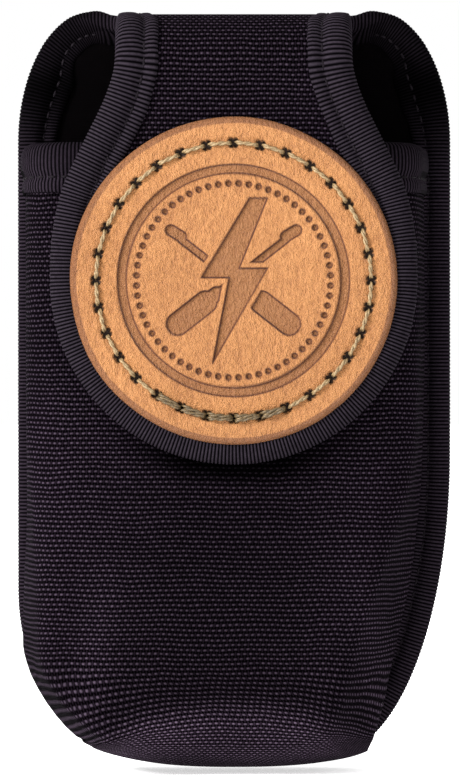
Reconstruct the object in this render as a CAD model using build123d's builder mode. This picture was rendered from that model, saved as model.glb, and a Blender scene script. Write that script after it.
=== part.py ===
"""Electrician's belt pouch: a padded cloth pocket on a back panel whose top folds over as the flap.

Millimetres. +Z is up, the pouch faces -Y, and the origin is the centre of the flat base.
"""

import os
from math import cos, hypot, pi, sin

from build123d import *

os.makedirs("parts", exist_ok=True)

# ---------------------------------------------------------------- cloth layers
OUTER_CLOTH = 1.2
PADDING = 1.2
LINING = 0.8
PANEL = OUTER_CLOTH + PADDING + LINING
TAPE = 1.0  # binding tape
TAPE_COVER = 9.5  # how far the binding reaches in from an edge
THROUGH = 60.0  # longer than any wall a cutting body has to pass

# ---------------------------------------------------------------- back panel
HALF_WIDTH = 47.5
PANEL_BOTTOM = 3.0
PANEL_TOP = 166.5
PANEL_FRONT_Y = 14.0
PANEL_REAR_Y = PANEL_FRONT_Y + PANEL
LOWER_CORNER_R = 24.0
EAR_RX = 18.5
EAR_RZ = 28.5
NOTCH_HALF = 25.8  # the gap between the ears, where the neck passes
FOLD_Z = 158.0  # where the panel starts to turn over

# ---------------------------------------------------------------- pocket
POCKET_FRONT_Y = -16.0
POCKET_REAR_HALF = 43.5
POCKET_FRONT_HALF = 40.0
POCKET_CORNER_R = 11.0
POCKET_FOOT_R = 10.0
POCKET_BASE_HALF = 30.5
POCKET_CUT_HALF = 48.0  # where the slanted lower corner would leave the side
POCKET_CUT_Z = 40.2
BASE_REAR_Y = 8.0
POCKET_PADDING = 1.8
POCKET_LINING = 0.6
POCKET_WALL = OUTER_CLOTH + POCKET_PADDING + POCKET_LINING
MOUTH_Z = 135.5
POCKET_CLEAR = 0.1  # between the edge tape and the pocket it passes
MOUTH_TAPE = 0.9
MOUTH_TAPE_DEPTH = 9.8

# ---------------------------------------------------------------- flap
REAR_FOLD_R = 4.0  # inside radius, at the lining
FRONT_FOLD_R = 10.0
NECK_HALF = 25.3
NECK_UNDER_Z = FOLD_Z + REAR_FOLD_R
FLAP_INNER_Y = -18.7
FLAP_OUTER_Y = FLAP_INNER_Y - PANEL
REAR_FOLD_Y = PANEL_FRONT_Y - REAR_FOLD_R
FRONT_FOLD_Y = FLAP_INNER_Y + FRONT_FOLD_R
FRONT_FOLD_Z = NECK_UNDER_Z - FRONT_FOLD_R
FLAP_R = 39.1
FLAP_CENTRE_Z = 106.6
FLAP_FLARE = ((38.0, 121.5), (34.3, 133.0), (28.4, 144.8))  # half widths and heights up to the neck
FOLD_GAP_DEG = 2.0  # half the gap left in each fold, where two bodies meet
FOLD_RELIEF = 0.4  # how far inside the turning axis that cloth is cut away
QUARTER_TURN = pi / 2
RELIEF_SIZE = 12.0
RELIEF_LEAN = 0.25  # opens each side of the relief past a square corner

# ---------------------------------------------------------------- leather patch
PATCH_R = 35.0
PATCH_THICK = 2.6
PATCH_REAR_Y = FLAP_OUTER_Y
PATCH_FRONT_Y = PATCH_REAR_Y - PATCH_THICK
STITCH_COUNT = 32
STITCH_R = 29.2
AWL_R = 0.65
THREAD_R = 0.5
STAMP_DEPTH = 0.5
RING_OUTER_R = 24.6
RING_INNER_R = 22.6
PATCH_EDGE_R = 0.8
STITCH_GAP = 0.1
BOLT = ((3.4, 17.5), (-6.8, 0.6), (-0.9, 0.6), (-4.4, -17.5), (7.2, 2.6), (1.2, 2.6), (7.2, 17.5))

# ---------------------------------------------------------------- hook and loop
HOOK_LOOP_THICK = 1.2
HOOK_WIDTH = 36.0
HOOK_HEIGHT = 20.0
LOOP_WIDTH = 40.0
LOOP_HEIGHT = 24.0
HOOK_LOOP_CORNER_R = 2.0
CLOSURE_Z = 94.0

# ---------------------------------------------------------------- belt loop and clip
WEB_THICK = 2.4
WEB_WIDTH = 50.0
TUNNEL_GAP = 6.5
TUNNEL_LOW_Z = 78.0
TUNNEL_HIGH_Z = 136.0
TUNNEL_RAMP = 7.0
WEB_END = 10.0
WEB_INNER_Y = PANEL_REAR_Y + TUNNEL_GAP
WEB_OUTER_Y = WEB_INNER_Y + WEB_THICK
TACK_WIDTH = 1.6
TACK_RISE = 0.5
TACK_SIDE = 3.0
TACK_END = 1.0
CLIP_WIDTH = 18.0
CLIP_THICK = 1.2
CLIP_BEND_R = 3.4
CLIP_LOW_Z = 90.0
CLIP_BEND_Z = 128.0
CLIP_BEND_Y = WEB_OUTER_Y + CLIP_THICK + CLIP_BEND_R
CLIP_CORNER_R = 4.0
TONGUE_GRIP_SKEW = 0.4
TONGUE_GRIP_Z = 86.0
TONGUE_TIP_Z = 77.0
TONGUE_GRIP_IN = 0.9
TONGUE_TIP_OUT = 3.2
RIVET_R = 1.6
RIVET_HEAD_R = 3.2
RIVET_DOME_R = 0.7
RIVET_HEAD = 1.0
RIVET_ZS = (99.0, 117.0)


def facing_plane(y):
    """The plane seen from the front, with X right and Z up, at that depth. It extrudes forwards."""
    return Plane.XZ.offset(-y)


def mirrored(half):
    """Closes a half outline that starts and ends on the middle line with its mirror image."""
    with BuildLine() as outline:
        add(half)
        mirror(about=Plane.YZ)
    return outline.line


def panel_outline(inset):
    """The back panel seen from the front, with every edge but the fold moved in by inset."""
    side = HALF_WIDTH - inset
    low = PANEL_BOTTOM + inset
    corner = (HALF_WIDTH - LOWER_CORNER_R, PANEL_BOTTOM + LOWER_CORNER_R)
    ear_x = HALF_WIDTH - EAR_RX
    ear_z = PANEL_TOP - EAR_RZ
    ear_in = NOTCH_HALF + inset * (ear_x - NOTCH_HALF - 0.2) / TAPE_COVER
    with BuildLine() as half:
        Line((0, low), (corner[0], low))
        CenterArc(corner, LOWER_CORNER_R - inset, -90, 90)
        Line((side, corner[1]), (side, ear_z))
        EllipticalCenterArc((ear_x, ear_z), EAR_RX - inset, EAR_RZ - inset, 0, arc_size=90)
        Polyline((ear_x, PANEL_TOP - inset), (ear_in, PANEL_TOP - inset), (ear_in, FOLD_Z), (0, FOLD_Z))
    return mirrored(half.line)


def flap_outline(inset):
    """The hanging part of the flap seen from the front: a half circle that narrows up to the neck."""
    with BuildLine() as half:
        CenterArc((0, FLAP_CENTRE_Z), FLAP_R - inset, -90, 90)
        Spline(
            (FLAP_R - inset, FLAP_CENTRE_Z),
            *[(half_width - inset, z) for half_width, z in FLAP_FLARE],
            (NECK_HALF - inset, FRONT_FOLD_Z),
            tangents=((0, 1), (0, 1)),
        )
        Line((NECK_HALF - inset, FRONT_FOLD_Z), (0, FRONT_FOLD_Z))
    return mirrored(half.line)


def outline_sketch(outline, y, hole=None):
    """An outline as a face at that depth, with a second outline cut out of it if one is given."""
    with BuildSketch(facing_plane(y)) as drawing:
        with BuildLine():
            add(outline)
        make_face()
        if hole is not None:
            with BuildLine():
                add(hole)
            make_face(mode=Mode.SUBTRACT)
    return drawing.sketch


def pocket_plan(inset, z):
    """The pocket seen from above at that height, run on past the back panel."""
    depth = 2 * (PANEL_FRONT_Y - POCKET_FRONT_Y)
    rear_half = POCKET_FRONT_HALF + 2 * (POCKET_REAR_HALF - POCKET_FRONT_HALF)
    with BuildSketch(Plane.XY.offset(z)) as plan:
        Polygon(
            (-POCKET_FRONT_HALF, POCKET_FRONT_Y),
            (POCKET_FRONT_HALF, POCKET_FRONT_Y),
            (rear_half, POCKET_FRONT_Y + depth),
            (-rear_half, POCKET_FRONT_Y + depth),
            align=None,
        )
        if inset:
            offset(amount=-inset, kind=Kind.INTERSECTION)
        fillet(vertices().group_by(Axis.Y)[0], POCKET_CORNER_R - inset)
    return plan.sketch


def pocket_block(inset, top):
    """The pocket as a filled block up to a height, with every outer wall moved in by inset."""
    plan = pocket_plan(inset, 0)
    with BuildPart() as block:
        extrude(plan, amount=top)
        with BuildSketch(facing_plane(PANEL_FRONT_Y)):
            Polygon(
                (-POCKET_BASE_HALF, 0),
                (POCKET_BASE_HALF, 0),
                (POCKET_CUT_HALF, POCKET_CUT_Z),
                (POCKET_CUT_HALF, top + THROUGH),
                (-POCKET_CUT_HALF, top + THROUGH),
                (-POCKET_CUT_HALF, POCKET_CUT_Z),
                align=None,
            )
            if inset:
                offset(amount=-inset, kind=Kind.INTERSECTION)
            fillet(vertices().group_by(Axis.Y)[0], POCKET_FOOT_R - inset)
        extrude(amount=THROUGH, mode=Mode.INTERSECT)
        with BuildSketch(Plane.YZ):
            Polygon(
                (POCKET_FRONT_Y, 0),
                (BASE_REAR_Y, 0),
                (BASE_REAR_Y + THROUGH, THROUGH),
                (BASE_REAR_Y + THROUGH, top + THROUGH),
                (POCKET_FRONT_Y, top + THROUGH),
                align=None,
            )
            if inset:
                offset(amount=-inset, kind=Kind.INTERSECTION)
            fillet(vertices().group_by(Axis.Y)[0].sort_by(Axis.X)[0], POCKET_FOOT_R - inset)
        extrude(amount=THROUGH, both=True, mode=Mode.INTERSECT)
    return block.part


def pocket_layer(near, far, top):
    """One layer of the pocket's wall, from one depth below its surface to another."""
    return pocket_block(near, top) - pocket_block(far, top)


def fold_sector(centre, near_r, far_r, start, sweep, low_x, high_x):
    """A bent strip: the sector between two radii about a (Y, Z) centre, from low_x to high_x."""
    with BuildPart() as strip:
        with BuildSketch(Plane.YZ.offset(low_x)):
            with BuildLine():
                inner = CenterArc(centre, near_r, start, sweep)
                outer = CenterArc(centre, far_r, start, sweep)
                Line(inner @ 0, outer @ 0)
                Line(inner @ 1, outer @ 1)
            make_face()
        extrude(amount=high_x - low_x)
    return strip.part


def turning_axis(centre, inner_r, towards_y):
    """Where a fold turns: straightening it about this (Y, Z) point keeps the cloth's own length."""
    reach = QUARTER_TURN / 2 * (inner_r + PANEL / 2)
    return centre[0] + towards_y * reach, centre[1] + reach


def relief(centre, inner_r, towards_y):
    """The wedge outside a fold's turning axis, where the cloth would crush as the fold opens."""
    axis_y, axis_z = turning_axis(centre, inner_r, towards_y)
    corner = (axis_y - towards_y * FOLD_RELIEF, axis_z - FOLD_RELIEF)
    lean = RELIEF_SIZE * RELIEF_LEAN
    with BuildPart() as wedge:
        with BuildSketch(Plane.YZ):
            Polygon(
                corner,
                (corner[0] + towards_y * RELIEF_SIZE, corner[1] - lean),
                (corner[0] + towards_y * RELIEF_SIZE, corner[1] + RELIEF_SIZE),
                (corner[0] - towards_y * lean, corner[1] + RELIEF_SIZE),
                align=None,
            )
        extrude(amount=HALF_WIDTH, both=True)
    return wedge.part


REAR_CENTRE = (REAR_FOLD_Y, FOLD_Z)
FRONT_CENTRE = (FRONT_FOLD_Y, FRONT_FOLD_Z)
REAR_RELIEF = relief(REAR_CENTRE, REAR_FOLD_R, 1)
FRONT_RELIEF = relief(FRONT_CENTRE, FRONT_FOLD_R, -1)
HALF_FOLD_DEG = 45 - FOLD_GAP_DEG


def rear_fold(near, far, low_x, high_x):
    """The first half of the turn over the top, which stays with the back panel."""
    near_r, far_r = REAR_FOLD_R + near, REAR_FOLD_R + far
    strip = fold_sector(REAR_CENTRE, near_r, far_r, 0, HALF_FOLD_DEG, low_x, high_x)
    return strip - REAR_RELIEF


def front_fold(near, far, low_x, high_x):
    """The second half of the front turn, which hangs with the flap."""
    near_r, far_r = FRONT_FOLD_R + near, FRONT_FOLD_R + far
    strip = fold_sector(FRONT_CENTRE, near_r, far_r, 180, -HALF_FOLD_DEG, low_x, high_x)
    return strip - FRONT_RELIEF


def neck_strip(near, far, low_x, high_x):
    """The neck: the rest of the rear turn, the bridge over the mouth, and half of the front turn."""
    with BuildPart() as strip:
        with BuildSketch(Plane.YZ.offset(low_x)):
            with BuildLine():
                ends = []
                for depth in (near, far):
                    first = CenterArc(REAR_CENTRE, REAR_FOLD_R + depth, 90, -HALF_FOLD_DEG)
                    last = CenterArc(FRONT_CENTRE, FRONT_FOLD_R + depth, 90, HALF_FOLD_DEG)
                    Line(first @ 0, last @ 0)
                    ends.append((first @ 1, last @ 1))
                Line(ends[0][0], ends[1][0])
                Line(ends[0][1], ends[1][1])
            make_face()
        extrude(amount=high_x - low_x)
    return strip.part - REAR_RELIEF - FRONT_RELIEF


def edge_strips(strip, near, far):
    """The tape on both edges of the neck, made by one of the strips above."""
    inner_x = NECK_HALF - TAPE_COVER
    return strip(near, far, inner_x, NECK_HALF) + strip(near, far, -NECK_HALF, -inner_x)


def write(part, name):
    """Labels a finished piece and writes its STEP file."""
    part.label = name
    export_step(part, f"parts/{name}.step")


CLOTH_HALF = NECK_HALF - TAPE
LAYERS = {
    "lining": (0, LINING),
    "padding": (LINING, LINING + PADDING),
    "outer_cloth": (LINING + PADDING, PANEL),
}


# ---------------------------------------------------------------- back panel layers
PANEL_CLOTH = panel_outline(TAPE)


def back_layer(near, far):
    """One layer of the back panel with its half of the turn over the top."""
    fold = rear_fold(near, far, -CLOTH_HALF, CLOTH_HALF)
    face = outline_sketch(PANEL_CLOTH, PANEL_FRONT_Y + far)
    with BuildPart() as layer:
        extrude(face, amount=far - near)
        add(fold)
    return layer.part


for layer_name, (layer_near, layer_far) in LAYERS.items():
    write(back_layer(layer_near, layer_far), f"back_{layer_name}")


# ---------------------------------------------------------------- edge binding
binding_face = outline_sketch(panel_outline(0), PANEL_REAR_Y + TAPE, panel_outline(TAPE_COVER))
binding_on_fold = edge_strips(rear_fold, -TAPE, PANEL + TAPE)
pocket_space = pocket_block(-MOUTH_TAPE - POCKET_CLEAR, MOUTH_Z + MOUTH_TAPE + POCKET_CLEAR)
back_cloth = back_layer(0, PANEL)

with BuildPart() as edge_binding:
    extrude(binding_face, amount=PANEL + 2 * TAPE)
    # the fold line is open between the ears, where the cloth of the neck passes
    with Locations((0, PANEL_FRONT_Y, FOLD_Z)):
        Box(2 * NOTCH_HALF, THROUGH, 2 * TAPE_COVER, mode=Mode.SUBTRACT)
    add(binding_on_fold)
    add(back_cloth, mode=Mode.SUBTRACT)
    add(pocket_space, mode=Mode.SUBTRACT)
write(edge_binding.part, "edge_binding")


# ---------------------------------------------------------------- pocket layers
POCKET_LAYERS = {
    "pocket_outer_cloth": (0, OUTER_CLOTH),
    "pocket_padding": (OUTER_CLOTH, OUTER_CLOTH + POCKET_PADDING),
    "pocket_lining": (OUTER_CLOTH + POCKET_PADDING, POCKET_WALL),
}
BEHIND_PANEL = Pos(0, PANEL_FRONT_Y + THROUGH, 0) * Box(4 * HALF_WIDTH, 2 * THROUGH, 4 * PANEL_TOP)

for layer_name, (layer_near, layer_far) in POCKET_LAYERS.items():
    write(pocket_layer(layer_near, layer_far, MOUTH_Z) - BEHIND_PANEL, layer_name)


# ---------------------------------------------------------------- mouth binding
mouth_low = MOUTH_Z - MOUTH_TAPE_DEPTH
tape_height = MOUTH_TAPE_DEPTH + MOUTH_TAPE
tape_outside = pocket_plan(-MOUTH_TAPE, mouth_low)
tape_inside = pocket_plan(POCKET_WALL + MOUTH_TAPE, mouth_low)
wall_outside = pocket_plan(0, mouth_low)
wall_inside = pocket_plan(POCKET_WALL, mouth_low)

with BuildPart() as mouth_binding:
    extrude(tape_outside, amount=tape_height)
    extrude(wall_outside, amount=MOUTH_TAPE_DEPTH, mode=Mode.SUBTRACT)
    extrude(wall_inside, amount=tape_height)
    extrude(tape_inside, amount=tape_height, mode=Mode.SUBTRACT)
    add(BEHIND_PANEL, mode=Mode.SUBTRACT)
write(mouth_binding.part, "mouth_binding")


# ---------------------------------------------------------------- neck of the flap
for layer_name, (layer_near, layer_far) in LAYERS.items():
    write(neck_strip(layer_near, layer_far, -CLOTH_HALF, CLOTH_HALF), f"neck_{layer_name}")

neck_tape = edge_strips(neck_strip, -TAPE, PANEL + TAPE)
neck_cloth = neck_strip(0, PANEL, -CLOTH_HALF, CLOTH_HALF)
write(neck_tape - neck_cloth, "neck_binding")


# ---------------------------------------------------------------- hanging part of the flap
FLAP_CLOTH = flap_outline(TAPE)


def flap_layer(near, far):
    """One layer of the hanging flap with its half of the front turn."""
    fold = front_fold(near, far, -CLOTH_HALF, CLOTH_HALF)
    face = outline_sketch(FLAP_CLOTH, FLAP_INNER_Y - near)
    with BuildPart() as layer:
        extrude(face, amount=far - near)
        add(fold)
    return layer.part


for layer_name, (layer_near, layer_far) in LAYERS.items():
    write(flap_layer(layer_near, layer_far), f"flap_{layer_name}")

flap_binding_face = outline_sketch(flap_outline(0), FLAP_INNER_Y + TAPE, flap_outline(TAPE_COVER))
binding_on_front = edge_strips(front_fold, -TAPE, PANEL + TAPE)
flap_cloth = flap_layer(0, PANEL)

with BuildPart() as flap_binding:
    extrude(flap_binding_face, amount=PANEL + 2 * TAPE)
    with Locations((0, FLAP_INNER_Y, FRONT_FOLD_Z)):
        Box(2 * (NECK_HALF - TAPE_COVER), THROUGH, 2 * TAPE_COVER, mode=Mode.SUBTRACT)
    add(binding_on_front)
    add(flap_cloth, mode=Mode.SUBTRACT)
    # the patch lies straight on the cloth, so the tape stops at its rim
    with BuildSketch(facing_plane(PATCH_REAR_Y)):
        with Locations((0, FLAP_CENTRE_Z)):
            Circle(PATCH_R)
    extrude(amount=THROUGH, mode=Mode.SUBTRACT)
write(flap_binding.part, "flap_binding")


# ---------------------------------------------------------------- leather patch
def stitch_point(index):
    """The awl hole of that number, as X and Z."""
    angle = 2 * pi * (index + 0.5) / STITCH_COUNT
    return STITCH_R * sin(angle), FLAP_CENTRE_Z + STITCH_R * cos(angle)


with BuildPart() as leather_patch:
    with BuildSketch(facing_plane(PATCH_REAR_Y)):
        with Locations((0, FLAP_CENTRE_Z)):
            Circle(PATCH_R)
    extrude(amount=PATCH_THICK)
    fillet(edges().filter_by(GeomType.CIRCLE).group_by(Axis.Y)[0], PATCH_EDGE_R)
    # the stamped ring and a plain lightning bolt
    with BuildSketch(facing_plane(PATCH_FRONT_Y)):
        with Locations((0, FLAP_CENTRE_Z)):
            Circle(RING_OUTER_R)
            Circle(RING_INNER_R, mode=Mode.SUBTRACT)
            Polygon(*BOLT, align=None)
    extrude(amount=-STAMP_DEPTH, mode=Mode.SUBTRACT)
    with BuildSketch(facing_plane(PATCH_REAR_Y)):
        with Locations(*[stitch_point(i) for i in range(STITCH_COUNT)]):
            Circle(AWL_R)
    extrude(amount=PATCH_THICK, mode=Mode.SUBTRACT)
write(leather_patch.part, "leather_patch")


# ---------------------------------------------------------------- patch stitching
def stitch(index):
    """One stitch: its thread on the leather, and the leg that goes down through its own hole."""
    start = Vector(stitch_point(index)[0], PATCH_FRONT_Y - THREAD_R, stitch_point(index)[1])
    end = Vector(stitch_point(index + 1)[0], PATCH_FRONT_Y - THREAD_R, stitch_point(index + 1)[1])
    along = (end - start).normalized()
    reach = hypot(end.X - start.X, end.Z - start.Z) - 2 * THREAD_R - STITCH_GAP
    bar = Plane(start, z_dir=along) * Cylinder(
        THREAD_R, reach, align=(Align.CENTER, Align.CENTER, Align.MIN)
    )
    leg_plane = Plane((start.X, PATCH_REAR_Y, start.Z), z_dir=(0, -1, 0))
    leg = leg_plane * Cylinder(
        THREAD_R, PATCH_THICK + THREAD_R, align=(Align.CENTER, Align.CENTER, Align.MIN)
    )
    cap = Pos(start) * Sphere(THREAD_R)
    return bar + leg + cap


stitches = Compound(children=[stitch(i).solid() for i in range(STITCH_COUNT)])
write(stitches, "patch_stitching")


# ---------------------------------------------------------------- hook and loop tapes
with BuildPart() as loop_tape:
    with BuildSketch(facing_plane(POCKET_FRONT_Y)):
        with Locations((0, CLOSURE_Z)):
            RectangleRounded(LOOP_WIDTH, LOOP_HEIGHT, HOOK_LOOP_CORNER_R)
    extrude(amount=HOOK_LOOP_THICK)
write(loop_tape.part, "loop_tape")

with BuildPart() as hook_tape:
    with BuildSketch(facing_plane(FLAP_INNER_Y + HOOK_LOOP_THICK)):
        with Locations((0, CLOSURE_Z)):
            RectangleRounded(HOOK_WIDTH, HOOK_HEIGHT, HOOK_LOOP_CORNER_R)
    extrude(amount=HOOK_LOOP_THICK)
write(hook_tape.part, "hook_tape")


# ---------------------------------------------------------------- belt loop
def rivet_points():
    """Where the rivets go through, as X and Z on a plane seen from the front."""
    return [(0, z) for z in RIVET_ZS]


with BuildPart() as belt_loop:
    with BuildSketch(Plane.YZ.offset(-WEB_WIDTH / 2)):
        ramp_top = TUNNEL_HIGH_Z + TUNNEL_RAMP
        ramp_low = TUNNEL_LOW_Z - TUNNEL_RAMP
        with BuildLine() as webbing:
            Polyline(
                (PANEL_REAR_Y, ramp_top + WEB_END),
                (PANEL_REAR_Y, ramp_top),
                (WEB_INNER_Y, TUNNEL_HIGH_Z),
                (WEB_INNER_Y, TUNNEL_LOW_Z),
                (PANEL_REAR_Y, ramp_low),
                (PANEL_REAR_Y, ramp_low - WEB_END),
                (PANEL_REAR_Y + WEB_THICK, ramp_low - WEB_END),
                (PANEL_REAR_Y + WEB_THICK, ramp_low - WEB_THICK / 2),
                (WEB_OUTER_Y, TUNNEL_LOW_Z - WEB_THICK / 2),
                (WEB_OUTER_Y, TUNNEL_HIGH_Z + WEB_THICK / 2),
                (PANEL_REAR_Y + WEB_THICK, ramp_top + WEB_THICK / 2),
                (PANEL_REAR_Y + WEB_THICK, ramp_top + WEB_END),
                close=True,
            )
        make_face()
    extrude(amount=WEB_WIDTH)
    with BuildSketch(facing_plane(WEB_OUTER_Y)):
        with Locations(*rivet_points()):
            Circle(RIVET_R)
    extrude(amount=WEB_THICK, mode=Mode.SUBTRACT)
write(belt_loop.part, "belt_loop")


# ---------------------------------------------------------------- box stitching on the webbing's ends
def box_stitch(centre_z):
    """A rectangle of raised thread with a cross in it, over one sewn end of the webbing."""
    wide = WEB_WIDTH - 2 * TACK_SIDE
    tall = WEB_END - 2 * TACK_END
    with BuildPart() as box:
        with BuildSketch(facing_plane(PANEL_REAR_Y + WEB_THICK + TACK_RISE)):
            with Locations((0, centre_z)):
                Rectangle(wide, tall)
                Rectangle(wide - 2 * TACK_WIDTH, tall - 2 * TACK_WIDTH, mode=Mode.SUBTRACT)
                Rectangle(TACK_WIDTH, tall)
        extrude(amount=TACK_RISE)
    return box.part


tack_heights = (
    TUNNEL_HIGH_Z + TUNNEL_RAMP + (WEB_THICK + WEB_END) / 2,
    TUNNEL_LOW_Z - TUNNEL_RAMP - (WEB_THICK + WEB_END) / 2,
)
belt_loop_stitching = Compound(children=[box_stitch(z).solid() for z in tack_heights])
write(belt_loop_stitching, "belt_loop_stitching")


# ---------------------------------------------------------------- spring clip
CLIP_OUTER_R = CLIP_BEND_R + CLIP_THICK
CLIP_GAP_DEG = 3.0


def clip_bend(start, sweep):
    """Part of the bend at the top of the clip."""
    centre = (CLIP_BEND_Y, CLIP_BEND_Z)
    half = CLIP_WIDTH / 2
    return fold_sector(centre, CLIP_BEND_R, CLIP_OUTER_R, start, sweep, -half, half)


base_bend = clip_bend(90 + CLIP_GAP_DEG, 90 - CLIP_GAP_DEG)
tongue_bend = clip_bend(0, 90 - CLIP_GAP_DEG)

with BuildPart() as clip_base:
    base_height = CLIP_BEND_Z - CLIP_LOW_Z
    with Locations((0, WEB_OUTER_Y + CLIP_THICK / 2, CLIP_LOW_Z + base_height / 2)):
        Box(CLIP_WIDTH, CLIP_THICK, base_height)
    fillet(edges().filter_by(Axis.Y).group_by(Axis.Z)[0], CLIP_CORNER_R)
    add(base_bend)
    with BuildSketch(facing_plane(WEB_OUTER_Y + CLIP_THICK)):
        with Locations(*rivet_points()):
            Circle(RIVET_R)
    extrude(amount=CLIP_THICK, mode=Mode.SUBTRACT)
write(clip_base.part, "clip_base")

with BuildPart() as clip_tongue:
    near_y = CLIP_BEND_Y + CLIP_BEND_R
    with BuildSketch(Plane.YZ.offset(-CLIP_WIDTH / 2)):
        Polygon(
            (near_y, CLIP_BEND_Z),
            (near_y - TONGUE_GRIP_IN, TONGUE_GRIP_Z),
            (near_y + TONGUE_TIP_OUT, TONGUE_TIP_Z),
            (near_y + TONGUE_TIP_OUT + CLIP_THICK, TONGUE_TIP_Z),
            (near_y - TONGUE_GRIP_IN + CLIP_THICK, TONGUE_GRIP_Z + TONGUE_GRIP_SKEW),
            (near_y + CLIP_THICK, CLIP_BEND_Z),
            align=None,
        )
    extrude(amount=CLIP_WIDTH)
    # seen from behind, the lower corners of the strip are round
    with BuildSketch(facing_plane(near_y + THROUGH)):
        with Locations((0, TONGUE_TIP_Z + THROUGH)):
            RectangleRounded(CLIP_WIDTH, 2 * THROUGH, CLIP_CORNER_R)
    extrude(amount=2 * THROUGH, mode=Mode.INTERSECT)
    add(tongue_bend)
write(clip_tongue.part, "clip_tongue")


# ---------------------------------------------------------------- rivets
def rivet(z):
    """A domed rivet through the clip and the webbing, with a flat head inside the tunnel."""
    with BuildPart() as one:
        with BuildSketch(facing_plane(WEB_OUTER_Y + CLIP_THICK)):
            with Locations((0, z)):
                Circle(RIVET_R)
        extrude(amount=CLIP_THICK + WEB_THICK)
        with BuildSketch(facing_plane(WEB_OUTER_Y + CLIP_THICK + RIVET_HEAD)):
            with Locations((0, z)):
                Circle(RIVET_HEAD_R)
        extrude(amount=RIVET_HEAD)
        fillet(edges().filter_by(GeomType.CIRCLE).group_by(Axis.Y)[-1], RIVET_DOME_R)
        with BuildSketch(facing_plane(WEB_INNER_Y)):
            with Locations((0, z)):
                Circle(RIVET_HEAD_R)
        extrude(amount=RIVET_HEAD)
    return one.part


clip_rivets = Compound(children=[rivet(z).solid() for z in RIVET_ZS])
write(clip_rivets, "clip_rivets")
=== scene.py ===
"""The looks of the electrician's tool pouch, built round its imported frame.

Every size below is in millimetres until it reaches a mesh, where MM makes it metres. +Z is up,
the pouch faces -Y. A place on the long panel that makes the back, the neck and the flap is given
flat: x across it, and s along it from the bottom of the back over the top to the flap's tip.
"""

from bisect import bisect_right
from math import atan2, ceil, cos, hypot, pi, radians, sin, sqrt

import bmesh
import bpy
from mathutils import Matrix, Vector, noise


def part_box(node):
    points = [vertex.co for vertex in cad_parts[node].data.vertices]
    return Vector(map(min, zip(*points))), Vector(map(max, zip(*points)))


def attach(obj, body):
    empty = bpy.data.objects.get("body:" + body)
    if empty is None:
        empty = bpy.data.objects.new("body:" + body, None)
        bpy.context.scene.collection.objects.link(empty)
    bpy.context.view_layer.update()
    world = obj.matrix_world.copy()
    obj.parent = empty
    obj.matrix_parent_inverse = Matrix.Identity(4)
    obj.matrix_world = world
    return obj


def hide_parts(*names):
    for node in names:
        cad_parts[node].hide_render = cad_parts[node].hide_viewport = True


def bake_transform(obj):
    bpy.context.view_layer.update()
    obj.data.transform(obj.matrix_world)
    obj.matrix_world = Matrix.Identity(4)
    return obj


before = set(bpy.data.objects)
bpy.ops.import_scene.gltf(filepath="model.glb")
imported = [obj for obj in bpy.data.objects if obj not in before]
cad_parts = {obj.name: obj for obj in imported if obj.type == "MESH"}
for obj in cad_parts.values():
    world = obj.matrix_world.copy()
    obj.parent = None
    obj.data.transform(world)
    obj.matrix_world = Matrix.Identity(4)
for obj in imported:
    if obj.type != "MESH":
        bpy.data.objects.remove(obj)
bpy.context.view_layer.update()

MM = 0.001
QUARTER = pi / 2


def span(node):
    """A CAD node's lowest and highest corners, in millimetres."""
    low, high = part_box(node)
    return low / MM, high / MM


def mix(a, b, share):
    return a + (b - a) * share


def ease(share):
    """0 to 1 with soft ends, held at 0 and 1 outside."""
    share = min(1.0, max(0.0, share))
    return share * share * (3 - 2 * share)


def curve_through(points):
    """A smooth function through (place, value) pairs that never overshoots between them."""
    places = [p for p, _ in points]
    values = [v for _, v in points]
    slopes = [
        (values[i + 1] - values[i]) / (places[i + 1] - places[i]) for i in range(len(points) - 1)
    ]
    turns = [slopes[0]]
    for before, after in zip(slopes, slopes[1:]):
        turns.append(0.0 if before * after <= 0 else 2 * before * after / (before + after))
    turns.append(slopes[-1])

    def value(place):
        i = min(max(bisect_right(places, place) - 1, 0), len(slopes) - 1)
        step = places[i + 1] - places[i]
        t = min(1.0, max(0.0, (place - places[i]) / step))
        rise = t * t * (3 - 2 * t)
        return (
            mix(values[i], values[i + 1], rise)
            + step * turns[i] * t * (1 - t) ** 2
            - step * turns[i + 1] * t * t * (1 - t)
        )

    return value


# ---- sizes from the frame
edge_low, edge_high = span("edge_binding")
patch_low, patch_high = span("leather_patch")
PANEL = 3.2  # cloth, foam and lining together
CLOTH = 1.2
LINING = 0.8
HALF = PANEL / 2
HALF_WIDTH = edge_high.x
PANEL_LOW = edge_low.z
PANEL_TOP = edge_high.z
BACK_Y = span("belt_loop")[0].y - HALF
NECK_Z = span("neck_outer_cloth")[1].z - HALF
NECK_HALF = 25.2
NECK_SAG = 1.3
FRONT_Y = patch_high.y + HALF
FLAP_R = span("flap_binding")[1].x
FLAP_CENTRE_Z = (patch_low.z + patch_high.z) / 2
PATCH_R = patch_high.x

# ---- the long panel, laid flat
REAR_FOLD_R = 5.6
FRONT_FOLD_R = 11.6
FOLD_S = NECK_Z - REAR_FOLD_R
NECK_S = FOLD_S + QUARTER * REAR_FOLD_R
NECK_RUN = BACK_Y - REAR_FOLD_R - FRONT_Y - FRONT_FOLD_R
BEND_S = NECK_S + NECK_RUN
FLAP_S = BEND_S + QUARTER * FRONT_FOLD_R
SEAM_S = NECK_S + NECK_RUN / 2  # the two halves of the panel's mesh meet here
FLAP_TOP_Z = NECK_Z - FRONT_FOLD_R
CENTRE_S = FLAP_S + FLAP_TOP_Z - FLAP_CENTRE_Z
EAR_LIFT = 0.9
EAR_LIFT_FROM = 140.0
EAR_CURL = 13.0  # how far from the neck the ears are pulled forward by the fold


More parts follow.
